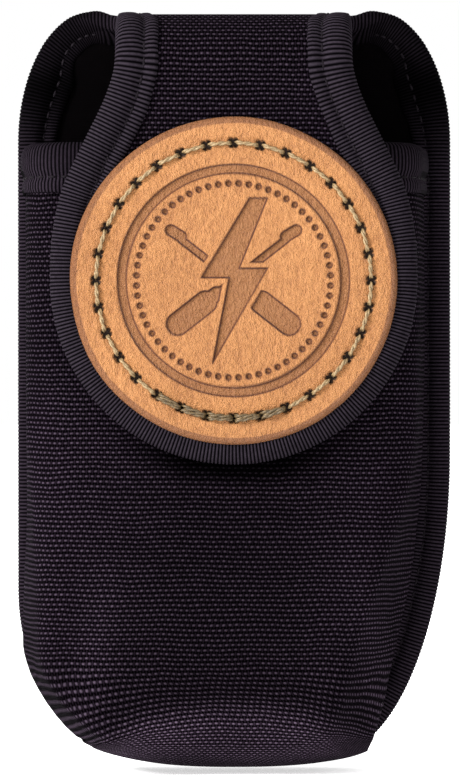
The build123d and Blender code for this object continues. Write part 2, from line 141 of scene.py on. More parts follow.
def strip(s):
    """The panel's middle line at s: y, z, and the outward normal's y and z."""
    if s <= FOLD_S:
        return BACK_Y, s, 1.0, 0.0
    if s <= NECK_S:
        turn = (s - FOLD_S) / REAR_FOLD_R
        return (
            BACK_Y - REAR_FOLD_R * (1 - cos(turn)), FOLD_S + REAR_FOLD_R * sin(turn),
            cos(turn), sin(turn),
        )
    if s <= BEND_S:
        return BACK_Y - REAR_FOLD_R - (s - NECK_S), NECK_Z, 0.0, 1.0
    if s <= FLAP_S:
        turn = (s - BEND_S) / FRONT_FOLD_R
        return (
            FRONT_Y + FRONT_FOLD_R * (1 - sin(turn)), NECK_Z - FRONT_FOLD_R * (1 - cos(turn)),
            -sin(turn), cos(turn),
        )
    return FRONT_Y, FLAP_TOP_Z - (s - FLAP_S), -1.0, 0.0


def panel_point(x, s, out):
    """A place on the panel, out from its middle towards the outer cloth, as a point in space."""
    y, z, ny, nz = strip(s)
    if s < SEAM_S:
        z += EAR_LIFT * ease((abs(x) - NECK_HALF) / 5) * ease((s - EAR_LIFT_FROM) / 22)
    if FOLD_S < s < FLAP_S:
        z -= NECK_SAG * sin(pi * (s - FOLD_S) / (FLAP_S - FOLD_S)) ** 2
    if FOLD_S < s < SEAM_S and abs(x) > NECK_HALF:
        stay = ease((abs(x) - NECK_HALF) / EAR_CURL)
        y, z = mix(y, BACK_Y, stay), mix(z, s + EAR_LIFT, stay)
        ny, nz = mix(ny, 1.0, stay), mix(nz, 0.0, stay)
        size = hypot(ny, nz)
        ny, nz = ny / size, nz / size
    return Vector((x, y + ny * out, z + nz * out)) * MM


def run_along(points):
    """How far along a line each of its points lies."""
    along = [0.0]
    for a, b in zip(points, points[1:]):
        along.append(along[-1] + hypot(b[0] - a[0], b[1] - a[1]))
    return along


def evenly(points, step):
    """The same open line with points one step apart, or as near as the length allows."""
    along = run_along(points)
    count = max(2, ceil(along[-1] / step))
    spaced, i = [], 0
    for k in range(count + 1):
        at = along[-1] * k / count
        while i < len(along) - 2 and along[i + 1] < at:
            i += 1
        share = (at - along[i]) / max(along[i + 1] - along[i], 1e-9)
        spaced.append(tuple(mix(p, q, share) for p, q in zip(points[i], points[i + 1])))
    return spaced


def softened(points, rounds):
    """The line with its corners eased by averaging neighbours, its ends kept."""
    for _ in range(rounds):
        inner = [
            tuple((a + 2 * b + c) / 4 for a, b, c in zip(p, q, r))
            for p, q, r in zip(points, points[1:], points[2:])
        ]
        points = [points[0], *inner, points[-1]]
    return points


def arc(centre, radius_x, radius_s, start, end, steps=40):
    """Points on an ellipse's arc, in degrees from +x towards +s."""
    angles = [radians(mix(start, end, k / steps)) for k in range(steps + 1)]
    return [(centre[0] + radius_x * cos(a), centre[1] + radius_s * sin(a)) for a in angles]


INSIDE_CORNER_R = 2.7
EAR_RX = 18.5
EAR_RS = 28.5
# the right lower corner is cut away in a long curve, the left one in a short one
RIGHT_FOOT = (26.0, 66.0)
LEFT_FOOT = (27.0, 36.0)


def back_side(side):
    """Half of the back's edge, from the neck's seam to the middle of the bottom."""
    corner = (NECK_HALF + INSIDE_CORNER_R, PANEL_TOP + INSIDE_CORNER_R)
    ear = (HALF_WIDTH - EAR_RX, PANEL_TOP - EAR_RS)
    foot_rx, foot_rs = RIGHT_FOOT if side > 0 else LEFT_FOOT
    foot = (HALF_WIDTH - foot_rx, PANEL_LOW + foot_rs)
    line = [
        (NECK_HALF, SEAM_S),
        *arc(corner, INSIDE_CORNER_R, INSIDE_CORNER_R, 180, 270, 12),
        *arc(ear, EAR_RX, EAR_RS, 90, 0),
        *arc(foot, foot_rx, foot_rs, 0, -90),
        (0.0, PANEL_LOW),
    ]
    return [(side * x, s) for x, s in line]


flap_flare = curve_through([
    (FLAP_CENTRE_Z, FLAP_R), (112.8, 39.0), (118.5, 38.3), (123.5, 37.3), (126.6, 36.4), (130.3, 34.8),
    (134.0, 33.0), (138.3, 30.9), (142.0, 29.0), (147.3, 26.7), (151.5, 25.5), (FLAP_TOP_Z + 1, 25.3),
])


def flap_half_width(s):
    """Half the flap's width, from the neck down to the middle of its round end."""
    return flap_flare(FLAP_TOP_Z - (s - FLAP_S))


def flap_side(side):
    """Half of the flap's edge, from the neck's seam to its tip."""
    flare = [mix(FLAP_S, CENTRE_S, k / 40) for k in range(1, 40)]
    line = [
        (NECK_HALF, SEAM_S),
        (NECK_HALF, FLAP_S),
        *[(flap_half_width(s), s) for s in flare],
        *arc((0.0, CENTRE_S), FLAP_R, FLAP_R, 0, 90),
    ]
    return [(side * x, s) for x, s in line]


RIB_PITCH = 0.8
STATIONS_PER_RIB = 4
ROUGH_STEP = 1.0


def whole_edge(side_line, rounds):
    """The left half of an edge joined to the right half, in even steps of a part of a rib."""
    line = side_line(-1) + side_line(1)[::-1][1:]
    line = softened(evenly(line, ROUGH_STEP), rounds)
    return evenly(line, RIB_PITCH / STATIONS_PER_RIB)


BACK_EDGE = whole_edge(back_side, 2)
FLAP_EDGE = whole_edge(flap_side, 6)


# ---- meshes
def finish_mesh(bm, name, material, smooth=True):
    """Turns a bmesh into an object at the origin, with its material."""
    mesh = bpy.data.meshes.new(name)
    bm.to_mesh(mesh)
    bm.free()
    if smooth:
        mesh.shade_smooth()
    mesh.materials.append(material)
    piece = bpy.data.objects.new(name, mesh)
    bpy.context.scene.collection.objects.link(piece)
    return piece


def sheet_mesh(columns, rows, place, pattern):
    """A grid whose vertices are put in place by a function of two shares from 0 to 1.

    pattern gives the texture's place in millimetres for the same two shares.
    """
    bm = bmesh.new()
    uv = bm.loops.layers.uv.new("cloth")
    bmesh.ops.create_grid(bm, x_segments=columns, y_segments=rows, size=0.5)
    shares = {v: (v.co.x + 0.5, v.co.y + 0.5) for v in bm.verts}
    for face in bm.faces:
        for loop in face.loops:
            loop[uv].uv = pattern(*shares[loop.vert])
    for vert, (a, b) in shares.items():
        vert.co = place(a, b)
    return bm


def facing(bm, way):
    """Turns an open sheet over where that makes most of it face +Y or, with way -1, -Y."""
    bm.normal_update()
    if sum(face.normal.y for face in bm.faces) * way < 0:
        bmesh.ops.reverse_faces(bm, faces=bm.faces)
    return bm


def outward(bm):
    """Turns every closed shell's normals outward."""
    bmesh.ops.recalc_face_normals(bm, faces=bm.faces)
    return bm


def sealed(bm, sides=0):
    """Joins a grid's seam, closes its ends and turns its normals outward."""
    bmesh.ops.remove_doubles(bm, verts=bm.verts, dist=1e-7)
    bmesh.ops.holes_fill(bm, edges=[e for e in bm.edges if e.is_boundary], sides=sides)
    return outward(bm)


def stitch(bm, a, b, radius):
    """One straight stitch, a slim ellipsoid from a to b."""
    run = b - a
    turn = run.to_track_quat("X", "Z").to_matrix().to_4x4()
    size = Matrix.Diagonal((run.length / 2, radius * MM, radius * MM, 1.0))
    place = Matrix.Translation((a + b) / 2) @ turn @ size
    bmesh.ops.create_uvsphere(bm, u_segments=6, v_segments=5, radius=1.0, matrix=place)


# ---- material nodes
def new_material(name, colour, roughness, specular=0.2, sheen=0.0, metallic=0.0):
    """A material with a Principled shader and uniform values on its own sockets."""
    material = bpy.data.materials.new(name)
    material.use_nodes = True
    shader = material.node_tree.nodes["Principled BSDF"]
    shader.inputs["Base Color"].default_value = (*colour, 1.0)
    shader.inputs["Roughness"].default_value = roughness
    shader.inputs["Specular IOR Level"].default_value = specular
    shader.inputs["Sheen Weight"].default_value = sheen
    shader.inputs["Sheen Roughness"].default_value = 0.5
    shader.inputs["Metallic"].default_value = metallic
    return material, shader, material.node_tree


def node(tree, kind, **settings):
    made = tree.nodes.new(kind)
    for name, value in settings.items():
        setattr(made, name, value)
    return made


def feed(tree, socket, value):
    """Links a socket's input to an output, or sets it to a plain number or colour."""
    if isinstance(value, bpy.types.NodeSocket):
        tree.links.new(value, socket)
    else:
        socket.default_value = value


def calc(tree, operation, *values):
    """One Math node; values are outputs or numbers."""
    made = node(tree, "ShaderNodeMath", operation=operation)
    for socket, value in zip(made.inputs, values):
        feed(tree, socket, value)
    return made.outputs[0]


def ramp(tree, value, *stops):
    """A colour ramp through (place, colour) stops."""
    made = node(tree, "ShaderNodeValToRGB")
    feed(tree, made.inputs["Fac"], value)
    elements = made.color_ramp.elements
    while len(elements) < len(stops):
        elements.new(0.5)
    for element, (place, colour) in zip(elements, stops):
        element.position = place
        element.color = (*colour, 1.0)
    return made.outputs["Color"]


def painted(tree, name):
    """A vertex attribute of that name."""
    return node(tree, "ShaderNodeAttribute", attribute_name=name).outputs["Fac"]


def multiplied(tree, first, second):
    return blend_colours(tree, 1.0, first, second, "MULTIPLY")


def blend_colours(tree, share, first, second, way="MIX"):
    made = node(tree, "ShaderNodeMix", data_type="RGBA", blend_type=way)
    feed(tree, made.inputs["Factor"], share)
    for socket, value in ((made.inputs["A"], first), (made.inputs["B"], second)):
        feed(tree, socket, (*value, 1.0) if isinstance(value, tuple) else value)
    return made.outputs["Result"]


def speckle(tree, scale, detail=3.0, stretch=(1.0, 1.0, 1.0), rough=0.5):
    """Noise on Object coordinates, scale in cells a metre."""
    place = node(tree, "ShaderNodeTexCoord").outputs["Object"]
    mapping = node(tree, "ShaderNodeMapping")
    mapping.inputs["Scale"].default_value = stretch
    tree.links.new(place, mapping.inputs["Vector"])
    made = node(tree, "ShaderNodeTexNoise")
    made.inputs["Scale"].default_value = scale
    made.inputs["Detail"].default_value = detail
    made.inputs["Roughness"].default_value = rough
    tree.links.new(mapping.outputs[0], made.inputs["Vector"])
    return made.outputs["Fac"]


def cloth_axes(tree):
    """The two axes of the piece's own pattern, in millimetres."""
    place = node(tree, "ShaderNodeUVMap", uv_map="cloth")
    split = node(tree, "ShaderNodeSeparateXYZ")
    tree.links.new(place.outputs["UV"], split.inputs[0])
    return split.outputs["X"], split.outputs["Y"]


def surface(tree, shader, colour, height, depth):
    """The finish's colour, and bump of that depth in millimetres where height is 1."""
    tree.links.new(colour, shader.inputs["Base Color"])
    bump = node(tree, "ShaderNodeBump")
    bump.inputs["Strength"].default_value = 1.0
    bump.inputs["Distance"].default_value = depth * MM
    tree.links.new(height, bump.inputs["Height"])
    tree.links.new(bump.outputs["Normal"], shader.inputs["Normal"])


YARN_SWING = 0.35  # how much of a yarn's height is its way over and under
WEFT_HALF = 0.36  # half a yarn's thickness, as a share of its spacing
WARP_HALF = 0.44


def yarn_crossing(tree, across, along, warp, weft):
    """Height of a plain weave, and how much of it is weft on top, both about 0 to 1."""
    a = calc(tree, "DIVIDE", across, warp)
    b = calc(tree, "DIVIDE", along, weft)
    column, row = calc(tree, "FLOOR", a), calc(tree, "FLOOR", b)
    in_column, in_row = calc(tree, "FRACT", a), calc(tree, "FRACT", b)

    def round_yarn(share, half):
        off = calc(tree, "DIVIDE", calc(tree, "SUBTRACT", share, 0.5), half)
        drop = calc(tree, "MULTIPLY", off, off)
        return calc(tree, "MAXIMUM", calc(tree, "SUBTRACT", 1.0, drop), 0.0)

    def wave(place, other):
        turned = calc(tree, "ADD", calc(tree, "SUBTRACT", place, 0.5), other)
        swung = calc(tree, "COSINE", calc(tree, "MULTIPLY", turned, pi))
        return calc(tree, "MULTIPLY_ADD", swung, YARN_SWING, 1.0 - YARN_SWING)

    weft_height = calc(tree, "MULTIPLY", wave(a, row), round_yarn(in_row, WEFT_HALF))
    warp_wave = wave(b, calc(tree, "ADD", column, 1.0))
    warp_height = calc(tree, "MULTIPLY", warp_wave, round_yarn(in_column, WARP_HALF))
    height = calc(tree, "MAXIMUM", weft_height, warp_height)
    return height, calc(tree, "GREATER_THAN", weft_height, warp_height)


TAPE_THREAD = 0.28
PAINTED_LIGHT_GAIN = 3.4  # how much lighter the cloth is where its painted light is full


def woven(name, dark, light, warp, weft, depth, roughness, specular):
    """Plain-woven cloth: round yarns that pass over and under, uneven in tone, with painted shade between
    the yarns, painted highlights on the weft where it lies on top, and painted light and shade where the
    mesh's attribute sets them.
    """
    material, shader, tree = new_material(name, dark, roughness, specular)
    across, along = cloth_axes(tree)
    for scale, reach in ((420.0, 0.5), (70.0, 1.8)):
        wobble = calc(tree, "SUBTRACT", speckle(tree, scale, 2.0), 0.5)
        across = calc(tree, "MULTIPLY_ADD", wobble, warp * reach, across)
        along = calc(tree, "MULTIPLY_ADD", wobble, weft * reach * 0.6, along)
    height, weft_on_top = yarn_crossing(tree, across, along, warp, weft)
    # Painted shade between the yarns and down their sides, by the yarns' height.
    tone = ramp(
        tree, height, (0.2, (0.02, 0.02, 0.02)), (0.55, (0.25, 0.25, 0.25)), (0.92, (1.0, 1.0, 1.0)),
    )
    uneven = calc(tree, "MULTIPLY_ADD", speckle(tree, 900.0, 4.0, rough=0.7), 1.9, -0.05)
    patchy = calc(tree, "MULTIPLY_ADD", speckle(tree, 25.0, 3.0), 0.5, 0.75)
    # Painted highlights: the weft gets the lighter colour where it lies on top.
    yarn = blend_colours(tree, weft_on_top, dark, light)
    lit = multiplied(tree, yarn, tone)
    # Painted light and shade from the mesh's attribute: on the pocket this is floor light on its underside,
    # light on its sides, highlights along its corner creases and the flap's shadow.
    wear_and_painted_light = painted(tree, "wear_and_painted_light")
    painted_shading = calc(tree, "MULTIPLY_ADD", wear_and_painted_light, PAINTED_LIGHT_GAIN, 1.0)
    amount = calc(tree, "MULTIPLY", calc(tree, "MULTIPLY", uneven, patchy), painted_shading)
    tint = node(tree, "ShaderNodeCombineColor")
    for socket in tint.inputs:
        tree.links.new(amount, socket)
    lit = multiplied(tree, lit, tint.outputs[0])
    surface(tree, shader, lit, height, depth)
    return material


def ribbed(name, dark, light, fresh_and_painted_shade=1.0):
    """Grosgrain tape: ribs across its length, of many fine threads, with painted shade in the grooves and
    painted highlights on the crests; darker still where the mesh's attribute paints shade on it.
    """
    material, shader, tree = new_material(name, dark, 0.9, 0.01)
    along, across = cloth_axes(tree)
    phase = calc(tree, "MULTIPLY", calc(tree, "FRACT", calc(tree, "DIVIDE", along, RIB_PITCH)), pi)
    rib = calc(tree, "POWER", calc(tree, "SINE", phase), 0.7)
    thread = calc(tree, "SINE", calc(tree, "MULTIPLY", across, 2 * pi / TAPE_THREAD))
    fine = calc(tree, "MULTIPLY_ADD", thread, 0.06, rib)
    # Painted shade in the grooves between the ribs and painted highlights on their crests.
    tone = ramp(tree, rib, (0.5, dark), (0.82, tuple(0.5 * c for c in light)), (1.0, light))
    # Painted shade from the mesh's attribute, down to this tone where the attribute is 0.
    if fresh_and_painted_shade < 1.0:
        wear_and_painted_light = painted(tree, "wear_and_painted_light")
        painted_shading = ramp(tree, wear_and_painted_light, (0.0, (fresh_and_painted_shade, fresh_and_painted_shade, fresh_and_painted_shade)), (1.0, (1.0, 1.0, 1.0)))
        tone = multiplied(tree, tone, painted_shading)
    uneven = speckle(tree, 1100.0, 3.0, rough=0.7)
    shade = ramp(tree, uneven, (0.25, (0.55, 0.55, 0.55)), (0.75, (1.0, 1.0, 1.0)))
    lit = multiplied(tree, tone, shade)
    surface(tree, shader, lit, fine, 0.1)
    return material


# ---- finishes
# The lighter colour of each woven finish is the painted highlight on its weft, and of each ribbed finish the
# painted highlight on its rib crests.
OUTER = woven("outer_nylon", (0.0062, 0.0038, 0.0066), (0.033, 0.0235, 0.0345), 0.64, 1.05, 0.35, 0.9, 0.005)
LININGS = woven("lining_nylon", (0.0015, 0.001, 0.0013), (0.004, 0.0028, 0.0036), 0.3, 0.34, 0.08, 0.9, 0.01)
TAPE = ribbed("binding_tape", (0.0008, 0.0005, 0.0009), (0.027, 0.021, 0.0285))
# Above 125 mm this tape darkens with painted shade, to 7 % of its tone above 150 mm on the ears and the back
# of the neck.
EDGE_TAPE = ribbed("edge_tape", (0.0008, 0.0005, 0.0009), (0.022, 0.016, 0.023), fresh_and_painted_shade=0.07)
WEBBING = woven("webbing", (0.006, 0.0045, 0.0062), (0.017, 0.0135, 0.0178), 1.5, 0.9, 0.3, 0.7, 0.15)


def fibrous(
    name, colour, roughness, specular, cells, dark, light, depth, detail=2.0, rough=0.5, top=0.7, sheen=0.0,
):
    """A plain finish of fine cells or fibres, dark between them."""
    material, shader, tree = new_material(name, colour, roughness, specular, sheen)
    fine = speckle(tree, cells, detail, rough=rough)
    surface(tree, shader, ramp(tree, fine, (0.3, dark), (top, light)), fine, depth)
    return material


def leather_finish():
    """Vegetable-tanned leather: fine upright grain, dark where it is stamped and at its burnished rim; the
    stamp's walls are darker with painted shade, and the awl holes near black with painted shade and the
    black cloth seen through them.
    """
    material, shader, tree = new_material("tan_leather", (0.6, 0.33, 0.17), 0.55, 0.35)
    grain = speckle(tree, 1250.0, 5.0, (1.0, 1.0, 0.6), 0.62)
    cloud = speckle(tree, 70.0, 4.0, (1.0, 1.0, 0.6))
    pores = speckle(tree, 3200.0, 2.0)
    base = ramp(tree, grain, (0.3, (0.29, 0.113, 0.032)), (0.5, (0.38, 0.16, 0.049)),
                (0.68, (0.43, 0.19, 0.063)))
    soft = ramp(tree, cloud, (0.3, (0.8, 0.76, 0.7)), (0.7, (1.0, 1.0, 1.0)))
    base = multiplied(tree, base, soft)
    stamp = painted(tree, "stamp")
    rim = painted(tree, "rim")
    pit = painted(tree, "pit")
    # Darkest on the stamp's walls: painted shade there, over the stamp's own darker colour.
    stamp_and_wall_shade = calc(tree, "MULTIPLY", stamp, calc(tree, "MULTIPLY_ADD", grain, 0.4, 0.8))
    base = blend_colours(tree, calc(tree, "MINIMUM", stamp_and_wall_shade, 1.0), base, (0.055, 0.012, 0.003))
    base = blend_colours(tree, calc(tree, "MULTIPLY", rim, 0.7), base, (0.1, 0.03, 0.008))
    # Awl holes near black: painted shade in the holes, and the black cloth seen through them.
    base = blend_colours(tree, pit, base, (0.02, 0.01, 0.006))
    surface(tree, shader, base, calc(tree, "MULTIPLY_ADD", pores, 0.5, grain), 1.1)
    polish = calc(tree, "MULTIPLY_ADD", grain, 0.25, 0.42)
    tree.links.new(polish, shader.inputs["Roughness"])
    return material


def waxed_thread_finish():
    material, shader, tree = new_material("waxed_thread", (0.75, 0.66, 0.48), 0.5, 0.35)
    fibres = speckle(tree, 3000.0, 3.0)
    aged = painted(tree, "aged")
    fresh_and_painted_shade = ramp(tree, fibres, (0.3, (0.12, 0.075, 0.033)), (0.7, (0.33, 0.23, 0.115)))
    old = ramp(tree, fibres, (0.3, (0.035, 0.022, 0.009)), (0.7, (0.13, 0.085, 0.036)))
    surface(tree, shader, blend_colours(tree, aged, fresh_and_painted_shade, old), fibres, 0.05)
    return material


def oxide_finish(name, colour):
    """Black-oxide steel: satin, with brushed scratches and random patches rubbed a little brighter."""
    material, shader, tree = new_material(name, colour, 0.35, 0.5, metallic=0.85)
    brushed = speckle(tree, 400.0, 4.0, (6.0, 1.0, 0.3))
    wear_and_painted_light = speckle(tree, 160.0, 5.0)
    tone = ramp(tree, wear_and_painted_light, (0.35, colour), (0.75, tuple(1.3 * c for c in colour)))
    tree.links.new(calc(tree, "MULTIPLY_ADD", brushed, 0.14, 0.33), shader.inputs["Roughness"])
    surface(tree, shader, tone, brushed, 0.02)
    return material


FOAM = fibrous(
    "padding_foam", (0.12, 0.12, 0.12), 0.9, 0.2, 2500.0, (0.07, 0.07, 0.07), (0.16, 0.16, 0.16), 0.1,
)
SEAM_THREAD = fibrous(
    "black_thread", (0.004, 0.003, 0.004), 0.8, 0.05, 4000.0,
    (0.002, 0.0015, 0.002), (0.012, 0.009, 0.012), 0.03,
)
LEATHER = leather_finish()
WAXED_THREAD = waxed_thread_finish()
OXIDE = oxide_finish("black_spring_steel", (0.03, 0.03, 0.032))
RIVET_STEEL = oxide_finish("rivet_steel", (0.045, 0.045, 0.048))
PILE = fibrous(
    "loop_pile", (0.01, 0.01, 0.011), 0.95, 0.02, 1800.0, (0.002, 0.0017, 0.002), (0.018, 0.016, 0.019), 0.5,
    detail=5.0, rough=0.8, top=0.75, sheen=0.05,
)
HOOK_NYLON = new_material("hook_nylon", (0.008, 0.007, 0.0085), 0.5, 0.2)[0]


# ---- the panel's cloth layers
CLOTH_INSET = 1.0  # the tape hides the cloth's edge by this much
NOTCH_INSET = 2.3


def edge_half_width(s, side):
    """How far the cloth reaches to that side at s."""
    inset = CLOTH_INSET
    if s >= FLAP_S:
        if s >= CENTRE_S:
            reach = FLAP_R - inset
            return sqrt(max(reach * reach - (s - CENTRE_S) ** 2, 0.3))
        return flap_half_width(s) - inset
    if s >= PANEL_TOP + INSIDE_CORNER_R:
        return NECK_HALF - inset
    if s >= PANEL_TOP - EAR_RS:
        high = min((s - PANEL_TOP + EAR_RS) / (EAR_RS - inset), 1.0)
        ear = HALF_WIDTH - EAR_RX + (EAR_RX - inset) * sqrt(max(1 - high * high, 0.0))
        return mix(ear, NECK_HALF - inset, ease((s - PANEL_TOP + NOTCH_INSET) / INSIDE_CORNER_R))
    foot_rx, foot_rs = RIGHT_FOOT if side > 0 else LEFT_FOOT
    low = max(PANEL_LOW + foot_rs - s, 0.0) / (foot_rs - inset)
    return HALF_WIDTH - foot_rx + (foot_rx - inset) * sqrt(max(1 - low * low, 0.0))


def layer(base, name, material, near, far):
    """A cloth or foam layer that lies between two distances out from the base's faces."""
    piece = base.copy()
    piece.data = base.data.copy()
    piece.name = piece.data.name = name
    piece.data.materials.clear()
    piece.data.materials.append(material)
    bpy.context.scene.collection.objects.link(piece)
    wall = piece.modifiers.new("wall", "SOLIDIFY")
    wall.thickness = (far - near) * MM
    wall.offset = (far + near) / (far - near)
    return piece


def discard(piece):
    bpy.data.objects.remove(piece, do_unlink=True)


PANEL_COLUMNS = 72


def panel_base(name, first_s, last_s, rows, way):
    """The middle sheet of a stretch of the panel, its faces looking towards the outer cloth."""

    def flat(a, b):
        s = mix(first_s, last_s, b)
        side = 1 if a > 0.5 else -1
        return side * abs(2 * a - 1) * edge_half_width(s, side), s

    bm = sheet_mesh(PANEL_COLUMNS, rows, lambda a, b: panel_point(*flat(a, b), 0.0), flat)
    return finish_mesh(facing(bm, way), name, FOAM)


LAYERS = (
    (OUTER, "outer_nylon", HALF - CLOTH, HALF),
    (FOAM, "padding_foam", LINING - HALF, HALF - CLOTH),
    (LININGS, "lining_nylon", -HALF, LINING - HALF),
)


def bend_rear(piece):
    """Bakes the back's cloth into its place; nothing bends it over the rear fold."""
    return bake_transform(piece)


def bend_front(piece):
    """Bakes the flap's cloth into its place; nothing bends it over the front fold."""
    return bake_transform(piece)


back_base = panel_base("back_base", PANEL_LOW + CLOTH_INSET, SEAM_S, 150, 1)
flap_base = panel_base("flap_base", SEAM_S, CENTRE_S + FLAP_R - CLOTH_INSET, 96, -1)
for base, bend, flat_size, pieces in (
    (back_base, bend_rear, (0.095, 0.172), (
        ("back_cloth", "back_outer_cloth", "neck_outer_cloth"),
        ("back_padding_pad", "back_padding", "neck_padding"),
        ("back_lining_cloth", "back_lining", "neck_lining"),
    )),
    (flap_base, bend_front, (0.078, 0.104), (
        ("flap_cloth", "flap_outer_cloth"),
        ("flap_padding_pad", "flap_padding"),
        ("flap_lining_cloth", "flap_lining"),
    )),
):
    for (name, *nodes), (material, slot, near, far) in zip(pieces, LAYERS):
        piece = layer(base, name, material, near, far)
        bend(piece)
        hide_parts(*nodes)
    discard(base)


# ---- binding tape
TAPE_WIDE = 9.4
GROOVE = 6.3
# how far in from the edge, and how far out from the panel's face
TAPE_TOP = (
    (TAPE_WIDE, 0.1), (9.25, 0.62), (8.4, 0.95), (7.4, 0.85), (6.75, 0.5), (GROOVE, 0.22),
    (5.9, 0.5), (5.1, 1.1), (4.0, 1.42), (2.8, 1.4), (1.6, 1.1), (0.7, 0.45), (0.15, -0.6),
)
RIB_RISE = 0.26


def tape_section():
    """The tape's closed section: in from the panel's edge, out from its middle, and the ribs' share."""
    top = [(inset, HALF + rise, 1.0) for inset, rise in TAPE_TOP]
    low = [(inset, -out, rib) for inset, out, rib in top[::-1]]
    inside = [(1.0, 0.4 - HALF), (0.75, 0.0), (1.0, HALF - 0.4)]
    inside = [(8.9, -HALF), (1.2, -HALF), *inside, (1.2, HALF), (8.9, HALF)]
    return [*top, (0.0, 0.0, 1.0), *low, *[(inset, out, 0.0) for inset, out in inside]]


def inward_normals(edge, side=1):
    """For each place on an edge, the direction across it; side -1 takes the other one."""
    normals = []
    last = len(edge) - 1
    for i in range(len(edge)):
        before, after = edge[max(i - 8, 0)], edge[min(i + 8, last)]
        dx, ds = after[0] - before[0], after[1] - before[1]
        size = hypot(dx, ds)
        normals.append((-side * ds / size, side * dx / size))
    return normals


def tape_band(name, edge, seed, section, place, material):
    """Ribbed tape along an edge; place turns (station, in, out) into a point."""
    count, around = len(edge) - 1, len(section)
    spread = run_along([*section, section[0]])

    def put(a, b):
        i, j = round(a * count), round(b * around) % around
        inset, out, rib = section[j]
        phase = sin(pi * ((i % STATIONS_PER_RIB) / STATIONS_PER_RIB))
        rise = RIB_RISE * (phase**0.7 - 0.6) * rib
        loose = 1.0 + 0.28 * noise.noise(Vector((i * 0.018, seed, 0.0)))
        loose += 0.12 * noise.noise(Vector((i * 0.09, seed, 5.0)))
        if rib and abs(out) > HALF:
            lift = abs(out) - HALF
            out = (HALF + lift * loose + rise) * (1 if out > 0 else -1)
        elif rib:
            inset -= rise * 0.7
        return place(i, inset, out)

    def pattern(a, b):
        return a * count * RIB_PITCH / STATIONS_PER_RIB, spread[round(b * around)]

    bm = sheet_mesh(count, around, put, pattern)
    # Painted shade on the tape: the attribute is 1 below 125 mm and falls to 0 above 150 mm, except towards
    # the front of the neck, where it stays 1.
    wear_and_painted_light = bm.verts.layers.float.new("wear_and_painted_light")
    for vert in bm.verts:
        y, z = vert.co.y / MM, vert.co.z / MM
        vert[wear_and_painted_light] = max(ease((150.0 - z) / 25.0), ease((z - 150) / 8) * ease((17 - y) / 12))
    return finish_mesh(sealed(bm), name, material)


TAPE_WANDER = 0.6
PINCH_NARROWS = 0.22
PINCH_FLATTENS = 0.7
BACK_TAPE_WIDTHS = (0.78, 1.08)  # narrower beside the pocket, wider round the ears


def along_panel(edge, side):
    """Tape is pulled tight and thin where it goes over the top, and wanders a little elsewhere."""
    normals = inward_normals(edge, side)

    def place(i, inset, out):
        (x, s), (nx, ns) = edge[i], normals[i]
        pinch = ease((s - FOLD_S + 5) / 7) * ease((BEND_S + 9 - s) / 7)
        wander = noise.noise(Vector((i * 0.013, side * 3.0, 2.0)))
        wander += 0.5 * noise.noise(Vector((i * 0.05, side, 8.0)))
        inset += TAPE_WANDER * wander * max(inset, 0.0) / TAPE_WIDE
        inset *= 1.0 - PINCH_NARROWS * pinch
        if side > 0:
            inset *= mix(*BACK_TAPE_WIDTHS, ease((s - 128) / 25))
        if abs(out) > HALF:
            out = (HALF + (abs(out) - HALF) * (1 - PINCH_FLATTENS * pinch)) * (1 if out > 0 else -1)
        return panel_point(x + nx * inset, s + ns * inset, out)

    return place


SEAM_PITCH = 2.8
SEAM_LENGTH = 2.0
SEAM_RADIUS = 0.3


def seam_stitches(name, edge, place, inset, faces):
    """A row of short straight stitches along an edge, on the faces given as distances out."""
    bm = bmesh.new()
    step = RIB_PITCH / STATIONS_PER_RIB
    every, long = round(SEAM_PITCH / step), round(SEAM_LENGTH / step)
    for out in faces:
        for i in range(every, len(edge) - every, every):
            stitch(bm, place(i, inset, out), place(i + long, inset, out), SEAM_RADIUS)
    return finish_mesh(bm, name, SEAM_THREAD)


SECTION = tape_section()
STITCH_OUT = HALF + 0.28
for name, thread_name, edge, side, material, bend, nodes in (
    (
        "edge_binding_tape", "edge_seam_stitches", BACK_EDGE, 1, EDGE_TAPE, bend_rear,
        ("edge_binding", "neck_binding"),
    ),
    (
        "flap_binding_tape", "flap_seam_stitches", FLAP_EDGE, -1, TAPE, bend_front,
        ("flap_binding", "neck_binding"),
    ),
):
    place = along_panel(edge, side)
    tape = tape_band(name, edge, len(edge) * 0.01, SECTION, place, material)
    bend(tape)
    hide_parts(*nodes)
    thread = seam_stitches(thread_name, edge, place, GROOVE, (STITCH_OUT, -STITCH_OUT))
    bend(thread)


# ---- pocket
pocket_low, pocket_high = span("pocket_outer_cloth")
MOUTH_Z = pocket_high.z
POCKET_Y = pocket_low.y
PANEL_FACE_Y = BACK_Y - HALF
left_reach = curve_through([
    (0.0, 27.0), (2.0, 28.5), (5.0, 31.8), (8.0, 35.4), (12.0, 39.0), (17.0, 42.4), (22.5, 45.0),
    (28.0, 46.2), (38.0, 46.0), (60.0, 45.1), (95.0, 45.2), (136.0, 45.5),
])
right_reach = curve_through([
    (0.0, 27.0), (2.0, 28.4), (5.0, 29.8), (10.0, 31.4), (15.0, 32.8), (22.0, 34.2), (30.0, 36.0),
    (38.0, 37.8), (48.0, 39.4), (66.0, 41.0), (95.0, 41.6), (136.0, 41.4),
])
foot_line = evenly(softened([
    (POCKET_Y, MOUTH_Z), (POCKET_Y, 100.0), (POCKET_Y - 0.3, 60.0), (POCKET_Y - 0.2, 30.0),
    (POCKET_Y + 0.2, 16.0), (POCKET_Y + 3.2, 10.4), (POCKET_Y + 7.2, 6.6), (POCKET_Y + 12.0, 3.8),
    (POCKET_Y + 18.0, 1.8), (POCKET_Y + 25.0, 0.7),
], 1), 1.6)
POCKET_ROWS = len(foot_line) - 1
POCKET_COLUMNS = 104


RIGHT_FALL = 0.72  # the right lower corner droops less than the left one


